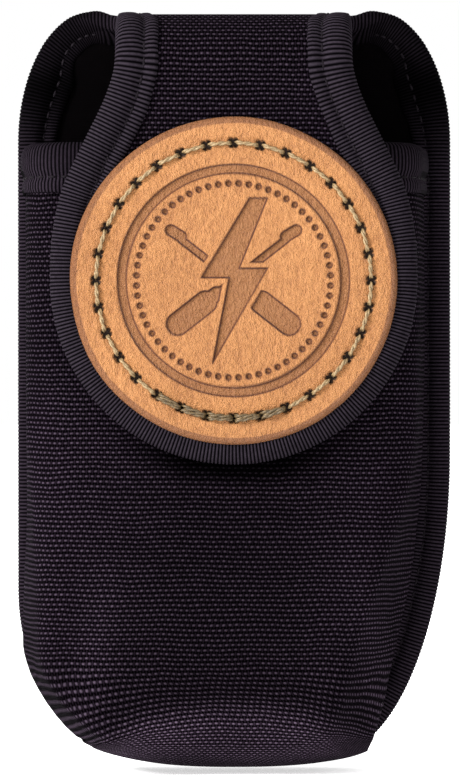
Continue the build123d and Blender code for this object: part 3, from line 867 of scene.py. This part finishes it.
def pocket_row(k):
    """One row of the pocket's outside, from its left rear edge round the front to the right."""
    front_y, z = foot_line[k]
    under = ease((14.0 - z) / 13.0)
    fall = 4.3 * under - 7.5 * ease((26.0 - z) / 12.0) * (1 - under)
    left, right = left_reach(z + fall), right_reach(z + RIGHT_FALL * fall)
    deep = PANEL_FACE_Y - front_y
    low = ease((75.0 - z) / 50.0)
    corner_r = min(mix(9.0, 4.0, low), 0.6 * deep)
    lean = min(1.0, deep / 26.0)
    left_taper, right_taper = mix(0.8, 4.0, low) * lean, mix(1.5, 8.5, low) * lean
    bulge_y = PANEL_FACE_Y - 0.3 * deep
    line = [(0.8 - left, PANEL_FACE_Y), (-left, bulge_y)]
    line += arc((left_taper + corner_r - left, front_y + corner_r), corner_r, corner_r, 180, 270, 10)
    line += arc((right - right_taper - corner_r, front_y + corner_r), corner_r, corner_r, 270, 360, 10)
    line += [(right, bulge_y), (right, PANEL_FACE_Y)]
    line = softened(evenly(line, 1.2), 3)
    length = run_along(line)[-1]
    spaced = evenly(line, length / POCKET_COLUMNS * 1.000001)
    return [
        (x, y, z + (fall * (-x / left) ** 2.6 if x < 0 else RIGHT_FALL * fall * (x / right) ** 2.6))
        for x, y in spaced
    ], length


pocket_rows = [pocket_row(k) for k in range(POCKET_ROWS + 1)]
foot_run = run_along(foot_line)


def pocket_place(a, b):
    row, _ = pocket_rows[round(b * POCKET_ROWS)]
    return Vector(row[round(a * POCKET_COLUMNS)]) * MM


def pocket_pattern(a, b):
    k = round(b * POCKET_ROWS)
    return (a - 0.5) * pocket_rows[k][1], -foot_run[k]


def settle(piece, frames, pressure, cap):
    """Cloth simulation of the piece with its border held; no point ends further than cap from its place."""
    held = piece.vertex_groups.new(name="held")
    bm = bmesh.new()
    bm.from_mesh(piece.data)
    held.add([v.index for v in bm.verts if v.is_boundary], 1.0, "REPLACE")
    bm.free()
    cloth = piece.modifiers.new("settle", "CLOTH")
    cloth.settings.vertex_group_mass = "held"
    cloth.settings.use_pressure = True
    cloth.settings.uniform_pressure_force = pressure
    cloth.settings.quality = 6
    cloth.settings.effector_weights.gravity = 0.0
    cloth.settings.bending_stiffness = 6.0
    cloth.collision_settings.use_collision = False
    rest = [v.co.copy() for v in piece.data.vertices]
    scene = bpy.context.scene
    for at in range(1, frames + 1):
        scene.frame_set(at)
    evaluated = piece.evaluated_get(bpy.context.evaluated_depsgraph_get())
    moved = [v.co.copy() for v in evaluated.data.vertices]
    piece.modifiers.remove(cloth)
    piece.vertex_groups.remove(held)
    for vert, before, after in zip(piece.data.vertices, rest, moved):
        shift = after - before
        if shift.length > cap * MM:
            shift *= cap * MM / shift.length
        vert.co = before + shift
    scene.frame_set(1)


pocket_bm = sheet_mesh(POCKET_COLUMNS, POCKET_ROWS, pocket_place, pocket_pattern)
# Painted light and shade on the pocket's cloth, kept as an attribute that the cloth's finish multiplies in;
# noise makes it uneven.
painted_light_layer = pocket_bm.verts.layers.float.new("wear_and_painted_light")
for vert in pocket_bm.verts:
    mottle = 0.3 * noise.noise(vert.co * 60.0)
    crease = 15.0 - 9.5 * min(1.0, abs(vert.co.x / MM) / 31.0) ** 2.6
    height = vert.co.z / MM
    across = abs(vert.co.x / MM)
    from_flap = hypot(across, height - FLAP_CENTRE_Z) - FLAP_R
    # Painted shadow of the flap: darker under the flap and just below its edge.
    flap_shadow = ease((6.5 - from_flap) / 5.5) * ease((34 - across) / 24)
    # Painted light on the pocket's sides.
    side_light = ease((across - 10) / 20) * ease((100 - height) / 30)
    # Painted highlights along the creases that rise from the lower corners.
    ridge_highlight = ease(1 - abs(across - mix(33, 27, (height - 10) / 35)) / 6.5) * ease((52 - height) / 25)
    # Painted light from the floor on the pocket's underside, added to the rest.
    vert[painted_light_layer] = (
        ease((crease - height + 4.0) / 9.0) * (0.75 + mottle)
        + (0.1 * side_light + 0.2 * ridge_highlight) * (1 + mottle) - 0.23 * flap_shadow - 0.03
    )
    free = ease((MOUTH_Z - 12 - vert.co.z / MM) / 15)
    dent = noise.noise(vert.co * 38.0 + Vector((3.1, 0.0, 1.7)))
    fold = noise.noise(Vector((vert.co.x * 30.0, 7.0, vert.co.z * 110.0)))
    side = ease((abs(vert.co.x) / MM - 28) / 14)
    vert.co.y += (0.55 * dent * free + 0.5 * fold * side * free) * MM
pocket_base = finish_mesh(facing(pocket_bm, -1), "pocket_base", FOAM)
settle(pocket_base, 20, 1.5, 1.2)
WALL = 3.6
POCKET_DEEP = PANEL_FACE_Y - POCKET_Y


def sunk(place, depth):
    """A place on the pocket's surface, moved in by depth on every side."""
    x, y, z = place / MM
    return Vector((
        x * (1 - depth / 44.0),
        PANEL_FACE_Y - (PANEL_FACE_Y - y) * (1 - depth / POCKET_DEEP),
        MOUTH_Z - (MOUTH_Z - z) * (1 - depth / MOUTH_Z),
    )) * MM


def pocket_shell(name, material, near, far):
    """One layer of the pocket, between two depths below its surface, closed at its border."""
    bm = bmesh.new()
    bm.from_mesh(pocket_base.data)
    outside = list(bm.verts)
    copies = bmesh.ops.duplicate(bm, geom=[*bm.verts, *bm.edges, *bm.faces])["geom"]
    for vert in outside:
        vert.co = sunk(vert.co, near)
    for vert in copies:
        if isinstance(vert, bmesh.types.BMVert):
            vert.co = sunk(vert.co, far)
    bmesh.ops.bridge_loops(bm, edges=[e for e in bm.edges if e.is_boundary])
    return finish_mesh(outward(bm), name, material)


POCKET_LAYERS = (
    ("pocket_cloth", OUTER, "outer_nylon", 0.0, CLOTH, "pocket_outer_cloth"),
    ("pocket_padding_pad", FOAM, "padding_foam", CLOTH, 3.0, "pocket_padding"),
    ("pocket_lining_cloth", LININGS, "lining_nylon", 3.0, WALL, "pocket_lining"),
)
for name, material, slot, near, far, replaced in POCKET_LAYERS:
    piece = pocket_shell(name, material, near, far)
    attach(piece, "pouch")
    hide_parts(replaced)
discard(pocket_base)

MOUTH_TOP = (
    (10.0, 0.1), (9.8, 0.5), (9.0, 0.75), (7.8, 0.7), (7.1, 0.35), (6.6, 0.25), (6.1, 0.45),
    (5.0, 0.95), (3.6, 1.1), (2.2, 1.05), (0.9, 0.8), (0.0, 0.3), (-0.6, -0.8),
)
mouth_plan = evenly([(x, y) for x, y, _ in pocket_rows[0][0]], RIB_PITCH / STATIONS_PER_RIB)
mouth_normals = inward_normals(mouth_plan)


def mouth_place(i, inset, out):
    (x, y), (nx, ny) = mouth_plan[i], mouth_normals[i]
    return Vector((x - nx * out, y - ny * out, MOUTH_Z - inset)) * MM


def mouth_section():
    top = [(inset, rise, 1.0) for inset, rise in MOUTH_TOP]
    low = [(inset, -WALL - rise, 1.0) for inset, rise, _ in top[::-1]]
    inside = [(9.5, -WALL, 0.0), (0.0, -WALL, 0.0), (0.0, 0.0, 0.0), (9.5, 0.0, 0.0)]
    return [*top, (-0.9, -WALL / 2, 1.0), *low, *inside]


mouth = tape_band("mouth_binding_tape", mouth_plan, 3.7, mouth_section(), mouth_place, EDGE_TAPE)
mouth_thread = seam_stitches("mouth_seam_stitches", mouth_plan, mouth_place, 6.6, (0.32, -WALL - 0.32))


# ---- leather patch
PATCH_FACE_Y = patch_low.y
PATCH_BACK_Y = patch_high.y
STAMP_OUT = 24.6
STAMP_IN = 22.7
HOLE_RING = 29.2
HOLES = 32
HOLE_ARM = 0.64
STAMP_DEPTH = 0.5


def near_segment(x, z, a, b):
    """Distance from a place to the line between two places."""
    dx, dz = b[0] - a[0], b[1] - a[1]
    share = max(0.0, min(1.0, ((x - a[0]) * dx + (z - a[1]) * dz) / (dx * dx + dz * dz)))
    return hypot(x - a[0] - share * dx, z - a[1] - share * dz)


def in_outline(x, z, outline):
    """Distance to an outline's edge, negative inside it."""
    inside, nearest = False, 1e9
    for a, b in zip(outline, [*outline[1:], outline[0]]):
        nearest = min(nearest, near_segment(x, z, a, b))
        if (a[1] > z) != (b[1] > z) and x < a[0] + (z - a[1]) * (b[0] - a[0]) / (b[1] - a[1]):
            inside = not inside
    return -nearest if inside else nearest


BOLT = ((3.4, 17.5), (-6.8, 0.6), (-0.9, 0.6), (-4.4, -17.5), (7.2, 2.6), (1.2, 2.6), (7.2, 17.5))
DRIVER_TURN = radians(52)


def crossed_tools(x, z):
    """Distance to two crossed screwdrivers: a handle, a blade and a flat tip each."""
    nearest = 1e9
    for side in (-1, 1):
        along = x * side * sin(DRIVER_TURN) + z * cos(DRIVER_TURN)
        across = x * side * cos(DRIVER_TURN) - z * sin(DRIVER_TURN)
        handle = near_segment(along, across, (-15.0, 0.0), (-7.5, 0.0)) - 2.4
        collar = near_segment(along, across, (-5.4, 0.0), (-4.6, 0.0)) - 1.5
        blade = near_segment(along, across, (-4.0, 0.0), (14.0, 0.0)) - 0.75
        tip = near_segment(along, across, (14.5, -0.5), (17.0, -0.2)) - 1.15
        nearest = min(nearest, handle, collar, blade, tip)
    return nearest


def stamp_share(x, z):
    """1 where the leather is pressed down, 0 where it isn't."""
    r = hypot(x, z)
    edge = 0.32
    ring = abs(r - (STAMP_OUT + STAMP_IN) / 2) - (STAMP_OUT - STAMP_IN) / 2
    if r > STAMP_IN - 1:
        return ease((edge - ring) / (2 * edge))
    bolt = in_outline(x, z, BOLT)
    tools = max(crossed_tools(x, z), 1.3 - bolt)
    turn = (atan2(z, x) / (2 * pi) * 60) % 1.0
    beads = hypot((turn - 0.5) * 2 * pi * 20.6 / 60, r - 20.6) - 0.55
    return ease((edge - min(bolt, tools, beads)) / (2 * edge))


def hole_share(x, z):
    """1 in an awl hole, whose four arms make a saltire along the ring."""
    r = hypot(x, z)
    if abs(r - HOLE_RING) > 1.5:
        return 0.0
    turn = (atan2(x, -z) / (2 * pi) * HOLES + 0.5) % 1.0 - 0.5
    u, v = turn * 2 * pi * HOLE_RING / HOLES, r - HOLE_RING
    arm = HOLE_ARM * 0.72
    cross = min(near_segment(u, v, (-arm, -arm), (arm, arm)), near_segment(u, v, (-arm, arm), (arm, -arm)))
    return ease((0.72 - cross) / 0.3)


RINGS = 108
SPOKES = 640
RIM_RINGS = 9
RIM_R = 1.3
CORE_R = 0.4


def leather_mesh():
    """A disc of rings and spokes, pressed down at the stamp and the holes, rounded at its rim."""
    bm = bmesh.new()
    stamp_and_wall_shade_layer = bm.verts.layers.float.new("stamp")
    rim_layer = bm.verts.layers.float.new("rim")
    pit_layer = bm.verts.layers.float.new("pit")
    bmesh.ops.create_grid(bm, x_segments=SPOKES, y_segments=RINGS + RIM_RINGS, size=0.5)
    for vert in bm.verts:
        angle = 2 * pi * (vert.co.x + 0.5)
        k = (vert.co.y + 0.5) * (RINGS + RIM_RINGS)
        wander = 0.16 * noise.noise(Vector((2.2 * cos(angle), 2.2 * sin(angle), 0.3)))
        full = PATCH_R - 0.2 + wander
        if k <= RINGS:
            r = CORE_R + (full - RIM_R - CORE_R) * k / RINGS
            drop = 0.0
        else:
            turn = (k - RINGS) / RIM_RINGS * pi
            r = full - RIM_R + RIM_R * sin(turn)
            drop = (PATCH_BACK_Y - PATCH_FACE_Y) * (1 - cos(turn)) / 2
        x, z = r * sin(angle), -r * cos(angle)
        if k <= RINGS:
            stamp, pit = stamp_share(x, z), hole_share(x, z)
            dome = 0.12 * noise.noise(Vector((x * 0.07, z * 0.07, 4.0)))
            groove = 0.22 * ease((1.6 - abs(r - HOLE_RING)) / 1.6)
            drop += STAMP_DEPTH * stamp + 0.9 * pit + groove - dome
            # Most on the stamp's walls, where stamp is between 0 and 1: painted shade there, over the
            # stamp's own darker colour.
            vert[stamp_and_wall_shade_layer] = min(1.0, 0.45 * stamp + 3.8 * stamp * (1 - stamp))
            vert[pit_layer] = pit
        smear = 0.24 * noise.noise(Vector((x * 0.25, 0.0, z * 0.25)))
        vert[rim_layer] = ease((r - full + 0.75 + smear) / 0.8) if k <= RINGS else 1.0
        vert.co = Vector((x, PATCH_FACE_Y + 0.15 + drop, FLAP_CENTRE_Z + z)) * MM
    return sealed(bm)


patch = finish_mesh(leather_mesh(), "patch_leather", LEATHER)


# ---- waxed thread on the patch
def ring_place(turn, r, out):
    """A place on the patch: turn in hole pitches from the bottom, radius, and height off its face."""
    angle = 2 * pi * turn / HOLES
    return Vector((r * sin(angle), PATCH_FACE_Y - out, FLAP_CENTRE_Z - r * cos(angle))) * MM


def twisted_strand(bm, path, radius, lay, twist, start_turn, sides=6):
    """One ply of a two-ply thread: a tube that winds round the path."""
    stations = len(path) - 1
    made = bmesh.ops.create_grid(bm, x_segments=stations, y_segments=sides, size=0.5)["verts"]
    for vert in made:
        i = round((vert.co.x + 0.5) * stations)
        j = round((vert.co.y + 0.5) * sides) % sides
        run = (path[min(i + 1, stations)] - path[max(i - 1, 0)]).normalized()
        side = run.cross(Vector((0.0, 1.0, 0.0))).normalized()
        up = side.cross(run)
        wind = start_turn + twist * i / stations
        centre = path[i] + (side * cos(wind) + up * sin(wind)) * lay * MM
        around = 2 * pi * j / sides
        vert.co = centre + (side * cos(around) + up * sin(around)) * radius * MM
    return made


def hop(first, last, r_first, r_last, height, steps=16):
    """A stitch's path from hole to hole: down into each, and along the face between."""
    path = []
    for k in range(steps + 1):
        t = k / steps
        dip = 1.0 - min(1.0, min(t, 1 - t) / 0.16)
        out = height - 1.3 * dip**1.6
        path.append(ring_place(mix(first, last, t), mix(r_first, r_last, t) - 0.06 * sin(pi * t), out))
    return path


def thread_mesh():
    bm = bmesh.new()
    aged = bm.verts.layers.float.new("aged")
    for k in range(HOLES):
        jitter = noise.noise(Vector((k * 1.7, 0.0, 0.0)))
        path = hop(k + 0.1, k + 0.9, HOLE_RING + 0.25 * jitter, HOLE_RING - 0.35 * jitter, 0.12)
        for ply in (0.0, pi):
            made = twisted_strand(bm, path, 0.28, 0.2, 2.4 * pi, ply + jitter)
            for vert in made:
                vert[aged] = 0.12 + 0.12 * jitter
    for k in range(-3, 2):
        for shift in (-0.45, 0.5):
            wander = 0.3 * noise.noise(Vector((k * 2.3, shift, 4.0)))
            path = hop(k + 0.05, k + 0.95, HOLE_RING + shift + wander, HOLE_RING + 0.4 * shift - wander, 0.4)
            for ply in (0.0, pi):
                made = twisted_strand(bm, path, 0.28, 0.2, 2.6 * pi, ply + k)
                for vert in made:
                    vert[aged] = 1.0
    return sealed(bm, sides=8)


patch_thread = finish_mesh(thread_mesh(), "patch_thread", WAXED_THREAD)


# ---- hook and loop under the flap
def tape_pad(low, high):
    """A sewn rectangle of tape with rounded corners, between two corners in space."""
    bm = bmesh.new()
    bmesh.ops.create_cube(bm, size=1.0)
    place = Matrix.Translation((low + high) / 2 * MM) @ Matrix.Diagonal((*(high - low) * MM, 1.0))
    bmesh.ops.transform(bm, matrix=place, verts=bm.verts)
    upright = [e for e in bm.edges if abs((e.verts[0].co - e.verts[1].co).y) > 1e-6]
    way = {"offset_type": "OFFSET", "profile": 0.5, "affect": "EDGES", "material": -1}
    bmesh.ops.bevel(bm, geom=upright, offset=2.2 * MM, segments=5, **way)
    bmesh.ops.bevel(bm, geom=list(bm.edges), offset=0.15 * MM, segments=1, **way)
    return bm


TUFT_RADIUS = 0.24
TUFT_HEIGHT = 0.62
TUFT_MARGIN = 2.5


def tufts(bm, low, high, y, out, pitch, lean):
    """Rows of small bent tufts that stand out from the tape's face at y."""
    columns = int((high.x - low.x - 2 * TUFT_MARGIN) / pitch)
    rows = int((high.z - low.z - 2 * TUFT_MARGIN) / pitch)
    for row in range(rows + 1):
        for column in range(columns + 1):
            x = mix(low.x + TUFT_MARGIN, high.x - TUFT_MARGIN, column / columns)
            z = mix(low.z + TUFT_MARGIN, high.z - TUFT_MARGIN, row / rows)
            swing = 0.6 * noise.noise(Vector((x * 3.1, z * 2.7, lean)))
            made = bmesh.ops.create_cone(
                bm, cap_ends=True, cap_tris=False, segments=5,
                radius1=TUFT_RADIUS, radius2=TUFT_RADIUS * 0.6, depth=1.0,
            )["verts"]
            for vert in made:
                t = vert.co.z + 0.5
                place = Vector((
                    x + vert.co.x + lean * t * t + swing * t * 0.5,
                    y + out * (TUFT_HEIGHT * t - 0.1),
                    z + vert.co.y + swing * t * 0.5,
                ))
                vert.co = place * MM


PAD_BASE = 0.55
for name, source, material, slot, body, out, pitch, lean in (
    ("hook_tape_pad", "hook_tape", HOOK_NYLON, "hook_nylon", "flap_front", 1, 1.5, 0.45),
    ("loop_tape_pad", "loop_tape", PILE, "loop_pile", "pouch", -1, 1.3, 0.2),
):
    low, high = span(source)
    bm = tape_pad(low, high)
    back = low.y if out > 0 else high.y
    face = back + out * PAD_BASE
    for vert in bm.verts:
        if abs(vert.co.y / MM - back) > 0.5:
            vert.co.y = face * MM
    tufts(bm, low, high, face, out, pitch, lean)
    pad = finish_mesh(outward(bm), name, material, smooth=False)
    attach(pad, body)
    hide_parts(source)


# ---- webbing loop on the back
web_low, web_high = span("belt_loop")
WEB_THICK = 2.4
WEB_END = 10.0
WEB_RAMP = 7.0
WEB_STEP = 0.9
web_y_in, web_y_out = web_low.y + WEB_THICK / 2, web_high.y - WEB_THICK / 2
web_line = evenly(softened(evenly([
    (web_y_in, web_high.z),
    (web_y_in, web_high.z - WEB_END),
    (web_y_out, web_high.z - WEB_END - WEB_RAMP),
    (web_y_out, web_low.z + WEB_END + WEB_RAMP),
    (web_y_in, web_low.z + WEB_END),
    (web_y_in, web_low.z),
], 0.7), 3), WEB_STEP)
WEB_COLUMNS = 48


def web_place(a, b):
    k = round(b * (len(web_line) - 1))
    x = mix(web_low.x, web_high.x, a)
    y, z = web_line[k]
    free = ease((web_high.z - z) / 12) * ease((z - web_low.z) / 12)
    sway = 0.25 * noise.noise(Vector((x * 0.08, z * 0.06, 9.0))) * free
    return Vector((x, y + sway, z)) * MM


web_bm = sheet_mesh(
    WEB_COLUMNS, len(web_line) - 1, web_place,
    lambda a, b: (mix(web_low.x, web_high.x, a), -b * WEB_STEP * (len(web_line) - 1)),
)
web = finish_mesh(web_bm, "belt_loop_webbing", WEBBING)
wall = web.modifiers.new("wall", "SOLIDIFY")
wall.thickness = WEB_THICK * MM
wall.offset = 0
rounding = web.modifiers.new("selvage", "BEVEL")
rounding.width = 0.7 * MM
rounding.segments = 3
rounding.limit_method = "ANGLE"


def web_stitching():
    """A sewn box with a cross over each end of the webbing."""
    bm = bmesh.new()
    y = web_low.y + WEB_THICK + 0.08
    for end_low in (web_high.z - WEB_END, web_low.z):
        left, right = web_low.x + 3, web_high.x - 3
        low, high = end_low + 1.2, end_low + WEB_END - 1.2
        corners = [(left, low), (right, low), (right, high), (left, high), (left, low), (right, high)]
        for a, b in [*zip(corners, corners[1:]), ((left, high), (right, low))]:
            length = hypot(b[0] - a[0], b[1] - a[1])
            count = max(1, round(length / 2.6))
            for k in range(count):
                shares = (k + 0.1) / count, (k + 0.9) / count
                stitch(bm, *[Vector((mix(a[0], b[0], t), y, mix(a[1], b[1], t))) * MM for t in shares], 0.36)
    return bm


web_thread = finish_mesh(web_stitching(), "belt_loop_thread", SEAM_THREAD)

# ---- bodies
for piece, body, slot, *nodes in (
    (mouth, "pouch", "binding_tape", "mouth_binding"),
    (mouth_thread, "pouch", "black_thread"),
    (patch, "flap_front", "tan_leather", "leather_patch"),
    (patch_thread, "flap_front", "waxed_thread", "patch_stitching"),
    (web, "pouch", "webbing", "belt_loop"),
    (web_thread, "pouch", "black_thread", "belt_loop_stitching"),
):
    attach(piece, body)
    if nodes:
        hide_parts(*nodes)

for name, material in (("clip_base", OXIDE), ("clip_tongue", OXIDE), ("clip_rivets", RIVET_STEEL)):
    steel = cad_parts[name]
    steel.data.materials.clear()
    steel.data.materials.append(material)


# ---- floor, light and camera
def pale_floor():
    bm = bmesh.new()
    bmesh.ops.create_grid(bm, x_segments=1, y_segments=1, size=6.0)
    material, shader, _ = new_material("pale_floor", (0.96, 0.96, 0.96), 0.9, 0.0)
    shader.inputs["Emission Color"].default_value = (1.0, 1.0, 1.0, 1.0)
    shader.inputs["Emission Strength"].default_value = 0.55
    finish_mesh(bm, "floor", material, smooth=False)


def soft_light(name, place, aim, size, power):
    light = bpy.data.lights.new(name, "AREA")
    light.shape = "DISK"
    light.size = size
    light.energy = power
    lamp = bpy.data.objects.new(name, light)
    lamp.location = place
    lamp.rotation_euler = (Vector(aim) - Vector(place)).to_track_quat("-Z", "Y").to_euler()
    bpy.context.scene.collection.objects.link(lamp)


pale_floor()
soft_light("key", (-1.05, -0.66, 0.68), (0.0, 0.0, 0.09), 0.4, 41.0)
soft_light("fill", (0.5, -1.2, 0.5), (0.0, 0.0, 0.08), 0.8, 1.8)
world = bpy.data.worlds.new("studio")
world.use_nodes = True
world.node_tree.nodes["Background"].inputs["Color"].default_value = (1.0, 1.0, 1.0, 1.0)
world.node_tree.nodes["Background"].inputs["Strength"].default_value = 1.0
bpy.context.scene.world = world
bpy.context.scene.view_settings.view_transform = "Standard"

CAMERA_AWAY = 1100.0
VIEW_TALL = 170.5
VIEW_X = -0.9
VIEW_Z = 83.7
TURN = radians(0.2)
RISE = radians(0.3)
lens = bpy.data.cameras.new("camera")
lens.sensor_width = 36.0
lens.lens = 36.0 * CAMERA_AWAY / VIEW_TALL
camera = bpy.data.objects.new("camera", lens)
aim = Vector((VIEW_X, BACK_Y, VIEW_Z)) * MM
away = Vector((sin(TURN) * cos(RISE), -cos(TURN) * cos(RISE), sin(RISE))) * CAMERA_AWAY * MM
camera.location = aim + away
camera.rotation_euler = (-away).to_track_quat("-Z", "Y").to_euler()
bpy.context.scene.collection.objects.link(camera)
bpy.context.scene.camera = camera
